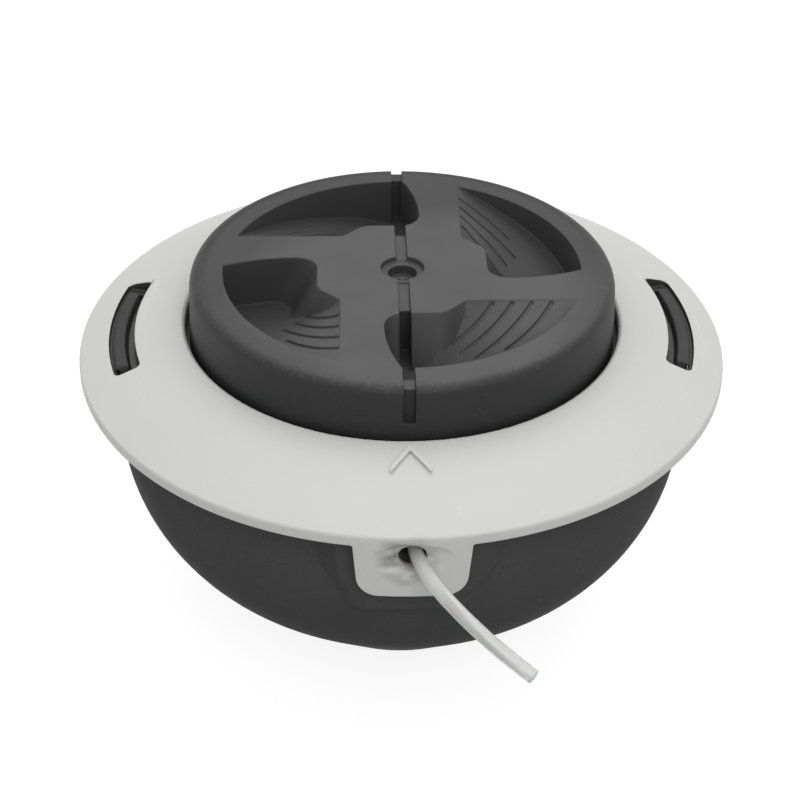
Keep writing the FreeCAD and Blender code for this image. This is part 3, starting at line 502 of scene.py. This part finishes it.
class TRIMMER_HEAD_OT_stage(Operator):
    """Camera at the photograph's angle, pale floor and soft light"""

    bl_idname = "trimmer_head.stage"
    bl_label = "Studio"

    def execute(self, context):
        stage = context.scene.trimmer_stage
        self.add_camera(context, stage)
        self.add_floor(context, stage)
        self.add_light(context, stage)
        context.scene.view_settings.view_transform = "Standard"
        return {"FINISHED"}

    def add_camera(self, context, stage):
        camera = bpy.data.objects.new("photo_camera", bpy.data.cameras.new("photo_camera"))
        context.scene.collection.objects.link(camera)
        camera.data.lens = stage.lens
        camera.data.clip_start = 0.01
        camera.location = stage.camera
        sight = (Vector(stage.aim) - Vector(stage.camera)).to_track_quat("-Z", "Y")
        camera.rotation_mode = "QUATERNION"
        camera.rotation_quaternion = sight @ Quaternion((0.0, 0.0, 1.0), stage.roll)
        context.scene.camera = camera

    def add_floor(self, context, stage):
        bpy.ops.mesh.primitive_plane_add(size=stage.floor_side, location=(0.0, 0.0, -0.1 * MM))
        floor = context.object
        floor.name = "studio_floor"
        material = bpy.data.materials.new("studio floor")
        material.use_nodes = True
        nodes, links = material.node_tree.nodes, material.node_tree.links
        nodes.clear()
        surface = nodes.new("ShaderNodeBsdfDiffuse")
        surface.inputs["Color"].default_value = (*context.scene.trimmer_colours.floor, 1.0)
        glow = nodes.new("ShaderNodeEmission")
        links.new(self.seen(nodes, links, 0.0, stage.backdrop_glow), glow.inputs["Strength"])
        both = nodes.new("ShaderNodeAddShader")
        links.new(surface.outputs["BSDF"], both.inputs[0])
        links.new(glow.outputs["Emission"], both.inputs[1])
        links.new(both.outputs["Shader"], nodes.new("ShaderNodeOutputMaterial").inputs["Surface"])
        give(floor, material)

    def add_light(self, context, stage):
        world = bpy.data.worlds.new("studio")
        world.use_nodes = True
        context.scene.world = world
        nodes, links = world.node_tree.nodes, world.node_tree.links
        background = nodes["Background"]
        background.inputs["Color"].default_value = (1.0, 1.0, 1.0, 1.0)
        links.new(self.seen(nodes, links, stage.sky, 1.0), background.inputs["Strength"])
        overhead = (stage.softbox_power, stage.softbox_side, stage.softbox_place)
        in_front = (stage.fill_power, stage.fill_side, stage.fill_place)
        self.add_softbox(context, "softbox", *overhead)
        self.add_softbox(context, "fill", *in_front)

    def add_softbox(self, context, name, power, side, spot):
        """A square lamp that looks at the knob."""
        softbox = bpy.data.objects.new(name, bpy.data.lights.new(name, "AREA"))
        context.scene.collection.objects.link(softbox)
        softbox.data.energy = power
        softbox.data.size = side
        softbox.location = spot
        sight = Vector((0.0, 0.0, KNOB_HIGH.z)) - Vector(spot)
        softbox.rotation_mode = "QUATERNION"
        softbox.rotation_quaternion = sight.to_track_quat("-Z", "Y")

    def seen(self, nodes, links, unseen_value, seen_value):
        """One value for light that falls on things, another for what is seen or mirrored."""
        path = nodes.new("ShaderNodeLightPath")
        total = path.outputs["Is Camera Ray"]
        for ray in ("Is Glossy Ray", "Is Transmission Ray"):
            either = nodes.new("ShaderNodeMath")
            either.operation = "MAXIMUM"
            links.new(total, either.inputs[0])
            links.new(path.outputs[ray], either.inputs[1])
            total = either.outputs["Value"]
        choice = nodes.new("ShaderNodeMapRange")
        choice.inputs["To Min"].default_value = unseen_value
        choice.inputs["To Max"].default_value = seen_value
        links.new(total, choice.inputs["Value"])
        return choice.outputs["Result"]


class TRIMMER_HEAD_OT_line(Operator):
    """The free end of the nylon line, out of the front eyelet"""

    bl_idname = "trimmer_head.line"
    bl_label = "Free line"

    def execute(self, context):
        sizes = context.scene.trimmer_sizes
        curve = bpy.data.curves.new("free_line", "CURVE")
        curve.dimensions = "3D"
        curve.bevel_depth = sizes.line_diameter / 2
        curve.bevel_resolution = 6
        curve.use_fill_caps = True
        curve.resolution_u = 12
        spline = curve.splines.new("NURBS")
        spline.points.add(len(LINE_ROUTE) - 1)
        for point, (x, y, z) in zip(spline.points, LINE_ROUTE):
            point.co = (x * MM, y * MM, z * MM, 1.0)
        spline.order_u = 3
        spline.use_endpoint_u = True
        line = bpy.data.objects.new("free_line", curve)
        context.scene.collection.objects.link(line)
        give(line, line_finish(context.scene.trimmer_colours.line))
        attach(line, "housing")
        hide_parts("trimmer_line")
        return {"FINISHED"}


class TRIMMER_HEAD_OT_housing(Operator):
    """The housing with softened edges and dark moulded nylon"""

    bl_idname = "trimmer_head.housing"
    bl_label = "Housing"

    def execute(self, context):
        width = context.scene.trimmer_sizes.housing_edge
        housing = softened("base_cup", "housing_shell", width, ROUNDED_FROM)
        tone = context.scene.trimmer_colours.housing
        shell = moulded("dark moulded housing", tone, 0.5, 0.01 * MM, 0.1)
        give(housing, shell.set(Specular_IOR_Level=0.004).material)
        return {"FINISHED"}


class TRIMMER_HEAD_OT_ring(Operator):
    """The cover ring with softened edges and pale moulded plastic"""

    bl_idname = "trimmer_head.ring"
    bl_label = "Cover ring"

    def execute(self, context):
        width = context.scene.trimmer_sizes.ring_edge
        ring = softened("cover_ring", "clip_ring", width, ROUNDED_FROM)
        give(ring, ring_finish(context.scene.trimmer_colours))
        return {"FINISHED"}


class TRIMMER_HEAD_OT_direction_marks(Operator):
    """Raised direction marks on the ring, above both eyelets"""

    bl_idname = "trimmer_head.direction_marks"
    bl_label = "Direction marks"

    def execute(self, context):
        sizes = context.scene.trimmer_sizes
        for name, turn in (("direction_mark_front", 0.0), ("direction_mark_back", math.pi)):
            mark = self.add_mark(name, sizes, turn)
            give(mark, bpy.data.objects["clip_ring"].active_material)
            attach(mark, "housing")
        return {"FINISHED"}

    def add_mark(self, name, sizes, turn):
        """A V of two strokes, laid on the ring's crown with its tip towards the axis."""
        half = sizes.mark_width / 2
        tip = -sizes.mark_reach
        foot = tip - sizes.mark_length
        bpy.ops.object.select_all(action="DESELECT")
        start = (-half, foot, RING_HIGH.z)
        bpy.ops.mesh.primitive_plane_add(size=sizes.mark_stroke, location=start)
        mark = bpy.context.object
        mark.name = name
        bpy.ops.object.transform_apply(location=True)
        bpy.ops.object.mode_set(mode="EDIT")
        bpy.ops.mesh.select_all(action="SELECT")
        bpy.ops.transform.resize(value=(0.0, 1.0, 1.0), center_override=start)
        bpy.ops.mesh.remove_doubles(threshold=WELD)
        bpy.ops.mesh.select_all(action="SELECT")
        for along in (tip - foot, foot - tip):
            bpy.ops.mesh.extrude_region_move(TRANSFORM_OT_translate={"value": (half, along, 0.0)})
        bpy.ops.mesh.select_all(action="SELECT")
        bpy.ops.mesh.subdivide(number_cuts=4)
        bpy.ops.transform.rotate(value=-turn, orient_axis="Z", center_override=(0.0, 0.0, 0.0))
        bpy.ops.object.mode_set(mode="OBJECT")
        lay = mark.modifiers.new("lay on the ring", "SHRINKWRAP")
        lay.target = NODES["cover_ring"]
        lay.wrap_method = "PROJECT"
        lay.use_project_z = True
        lay.use_negative_direction = True
        lay.use_positive_direction = False
        lay.offset = sizes.mark_rise
        body = mark.modifiers.new("thickness", "SOLIDIFY")
        body.thickness = sizes.mark_rise * 2
        body.offset = -1.0
        edge = mark.modifiers.new("soft edges", "BEVEL")
        edge.width = sizes.mark_rise / 2
        edge.segments = 2
        edge.limit_method = "ANGLE"
        edge.angle_limit = math.radians(50)
        apply_all(mark)
        bpy.ops.object.shade_smooth_by_angle(angle=math.radians(32))
        return mark


class TRIMMER_HEAD_OT_knob(Operator):
    """The bump knob with softened edges and dark grey moulded plastic"""

    bl_idname = "trimmer_head.knob"
    bl_label = "Bump knob"

    def execute(self, context):
        width = context.scene.trimmer_sizes.knob_edge
        knob = softened("bump_knob", "winding_knob", width, KNOB_ROUNDED_FROM)
        give(knob, knob_finish(context.scene.trimmer_colours))
        return {"FINISHED"}


class TRIMMER_HEAD_OT_nub(Operator):
    """The moulding nub in the knob's centre hole"""

    bl_idname = "trimmer_head.nub"
    bl_label = "Moulding nub"

    def execute(self, context):
        sizes = context.scene.trimmer_sizes
        floor = KNOB_HIGH.z - sizes.nub_floor
        lip = sizes.nub_radius * 0.45
        dimple = sizes.nub_height * 0.3
        softness = sizes.nub_height * 0.15
        bpy.ops.object.select_all(action="DESELECT")
        bpy.ops.mesh.primitive_cylinder_add(
            vertices=24, radius=sizes.nub_radius, depth=sizes.nub_height,
            location=(0.0, 0.0, floor + sizes.nub_height / 2),
        )
        nub = context.object
        nub.name = "moulding_nub"
        settle(nub)
        bpy.ops.object.mode_set(mode="EDIT")
        bpy.ops.mesh.select_mode(type="FACE")
        bpy.ops.mesh.select_all(action="DESELECT")
        bpy.ops.object.mode_set(mode="OBJECT")
        for face in nub.data.polygons:
            face.select = face.normal.z > 0.9
        bpy.ops.object.mode_set(mode="EDIT")
        bpy.ops.mesh.inset(thickness=lip)
        bpy.ops.transform.translate(value=(0.0, 0.0, -dimple))
        bpy.ops.object.mode_set(mode="OBJECT")
        edge = nub.modifiers.new("soft edges", "BEVEL")
        edge.width = softness
        edge.segments = 2
        edge.limit_method = "ANGLE"
        apply_all(nub)
        bpy.ops.object.shade_smooth_by_angle(angle=math.radians(40))
        give(nub, bpy.data.objects["winding_knob"].active_material)
        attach(nub, "spool")
        return {"FINISHED"}


class TRIMMER_HEAD_OT_nut(Operator):
    """The drive nut with its left hand thread"""

    bl_idname = "trimmer_head.nut"
    bl_label = "Drive nut"

    def execute(self, context):
        thread = self.add_thread(context.scene.trimmer_sizes)
        nut = self.add_hexagon(context.scene.trimmer_sizes)
        thread.select_set(True)
        bpy.ops.object.join()
        for level in (NUT_LOW.z, NUT_HIGH.z):
            self.select_edges(nut, lambda ends: all(abs(end.z - level) < ON_LEVEL for end in ends))
            bpy.ops.mesh.bridge_edge_loops()
        bpy.ops.mesh.select_all(action="SELECT")
        bpy.ops.mesh.normals_make_consistent(inside=False)
        bpy.ops.object.mode_set(mode="OBJECT")
        bpy.ops.object.shade_smooth_by_angle(angle=math.radians(35))
        give(nut, steel_finish(context.scene.trimmer_colours.steel))
        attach(nut, "housing")
        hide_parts("drive_nut")
        return {"FINISHED"}

    def add_thread(self, sizes):
        """The bore's wall: a V swept up a left hand screw and cut level at both ends."""
        depth = sizes.thread_root - sizes.thread_crest
        bpy.ops.object.select_all(action="DESELECT")
        bpy.ops.mesh.primitive_plane_add(
            size=depth, location=(sizes.thread_crest, 0.0, NUT_LOW.z - sizes.thread_pitch)
        )
        thread = bpy.context.object
        settle(thread)
        bpy.ops.object.mode_set(mode="EDIT")
        bpy.ops.mesh.select_all(action="SELECT")
        bpy.ops.mesh.merge(type="CENTER")
        for across in (depth, -depth):
            bpy.ops.mesh.extrude_region_move(
                TRANSFORM_OT_translate={"value": (across, 0.0, sizes.thread_pitch / 2)}
            )
        bpy.ops.object.mode_set(mode="OBJECT")
        screw = thread.modifiers.new("left hand screw", "SCREW")
        screw.angle = -2 * math.pi
        screw.screw_offset = sizes.thread_pitch
        screw.iterations = math.ceil((NUT_HIGH.z - NUT_LOW.z) / sizes.thread_pitch) + 2
        screw.steps = screw.render_steps = 48
        apply_all(thread)
        bpy.ops.object.mode_set(mode="EDIT")
        bpy.ops.mesh.select_all(action="SELECT")
        bpy.ops.mesh.remove_doubles(threshold=WELD)
        for level, inwards in ((NUT_LOW.z, 1.0), (NUT_HIGH.z, -1.0)):
            bpy.ops.mesh.select_all(action="SELECT")
            bpy.ops.mesh.bisect(
                plane_co=(0.0, 0.0, level), plane_no=(0.0, 0.0, inwards), clear_inner=True
            )
        bpy.ops.object.mode_set(mode="OBJECT")
        return thread

    def add_hexagon(self, sizes):
        """The six flats, open at both ends, with rounded corners."""
        bpy.ops.object.select_all(action="DESELECT")
        bpy.ops.mesh.primitive_cylinder_add(
            vertices=6, radius=NUT_HIGH.y, depth=NUT_HIGH.z - NUT_LOW.z, end_fill_type="NOTHING",
            location=(0.0, 0.0, (NUT_LOW.z + NUT_HIGH.z) / 2),
        )
        nut = bpy.context.object
        nut.name = "threaded_nut"
        settle(nut)
        self.select_edges(nut, lambda ends: abs(ends[0].z - ends[1].z) > sizes.thread_pitch)
        bpy.ops.mesh.bevel(offset=sizes.nut_edge, segments=3, affect="EDGES")
        bpy.ops.object.mode_set(mode="OBJECT")
        return nut

    def select_edges(self, nut, wanted):
        """Select the edges whose two ends pass a test, in edit mode."""
        only(nut)
        bpy.ops.object.mode_set(mode="EDIT")
        bpy.ops.mesh.select_mode(type="EDGE")
        bpy.ops.mesh.select_all(action="DESELECT")
        bpy.ops.object.mode_set(mode="OBJECT")
        for edge in nut.data.edges:
            edge.select = wanted([nut.data.vertices[i].co for i in edge.vertices])
        bpy.ops.object.mode_set(mode="EDIT")


class TRIMMER_HEAD_OT_inner_parts(Operator):
    """The spring, and the finishes of the washer, spool and windings"""

    bl_idname = "trimmer_head.inner_parts"
    bl_label = "Inner parts"

    def execute(self, context):
        colours = context.scene.trimmer_colours
        steel = bpy.data.objects["threaded_nut"].active_material
        give(NODES["thrust_washer"], steel)
        give(self.add_spring(), steel)
        black = moulded("black moulded spool", colours.spool, 0.42, 0.01 * MM, 0.1)
        give(NODES["line_spool"], black.material)
        wound = winding_finish(colours.line, context.scene.trimmer_sizes.line_diameter)
        for node in ("upper_winding", "lower_winding"):
            give(NODES[node], wound)
        return {"FINISHED"}

    def add_spring(self):
        """The spring, smooth along its wire."""
        spring = joined_copy("bump_spring", "wound_spring")
        bpy.ops.object.mode_set(mode="OBJECT")
        bpy.ops.object.shade_smooth_by_angle(angle=SMOOTH_BELOW)
        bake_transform(spring)
        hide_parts("bump_spring")
        return spring


STEPS = (
    TRIMMER_HEAD_OT_stage,
    TRIMMER_HEAD_OT_line,
    TRIMMER_HEAD_OT_housing,
    TRIMMER_HEAD_OT_ring,
    TRIMMER_HEAD_OT_direction_marks,
    TRIMMER_HEAD_OT_knob,
    TRIMMER_HEAD_OT_nub,
    TRIMMER_HEAD_OT_nut,
    TRIMMER_HEAD_OT_inner_parts,
)


class TRIMMER_HEAD_PT_panel(Panel):
    """Lists the pieces of the trimmer head"""

    bl_idname = "TRIMMER_HEAD_PT_panel"
    bl_label = "Trimmer head"
    bl_space_type = "VIEW_3D"
    bl_region_type = "UI"
    bl_category = "Trimmer head"

    def draw(self, context):
        column = self.layout.column()
        for step in STEPS:
            column.operator(step.bl_idname)
        for setting in GROUPS:
            group = getattr(context.scene, setting)
            for name in group.bl_rna.properties.keys():
                if name not in ("rna_type", "name"):
                    column.prop(group, name)


GROUPS = {
    "trimmer_sizes": TrimmerHeadSizes,
    "trimmer_colours": TrimmerHeadColours,
    "trimmer_stage": TrimmerHeadStage,
}


def register():
    for cls in (*GROUPS.values(), *STEPS, TRIMMER_HEAD_PT_panel):
        bpy.utils.register_class(cls)
    for name, group in GROUPS.items():
        setattr(bpy.types.Scene, name, PointerProperty(type=group))


def unregister():
    for name in GROUPS:
        delattr(bpy.types.Scene, name)
    for cls in reversed((*GROUPS.values(), *STEPS, TRIMMER_HEAD_PT_panel)):
        bpy.utils.unregister_class(cls)


def main():
    register()
    bpy.ops.trimmer_head.stage()
    bpy.ops.trimmer_head.line()
    bpy.ops.trimmer_head.housing()
    bpy.ops.trimmer_head.ring()
    bpy.ops.trimmer_head.direction_marks()
    bpy.ops.trimmer_head.knob()
    bpy.ops.trimmer_head.nub()
    bpy.ops.trimmer_head.nut()
    bpy.ops.trimmer_head.inner_parts()


if __name__ == "__main__":
    main()
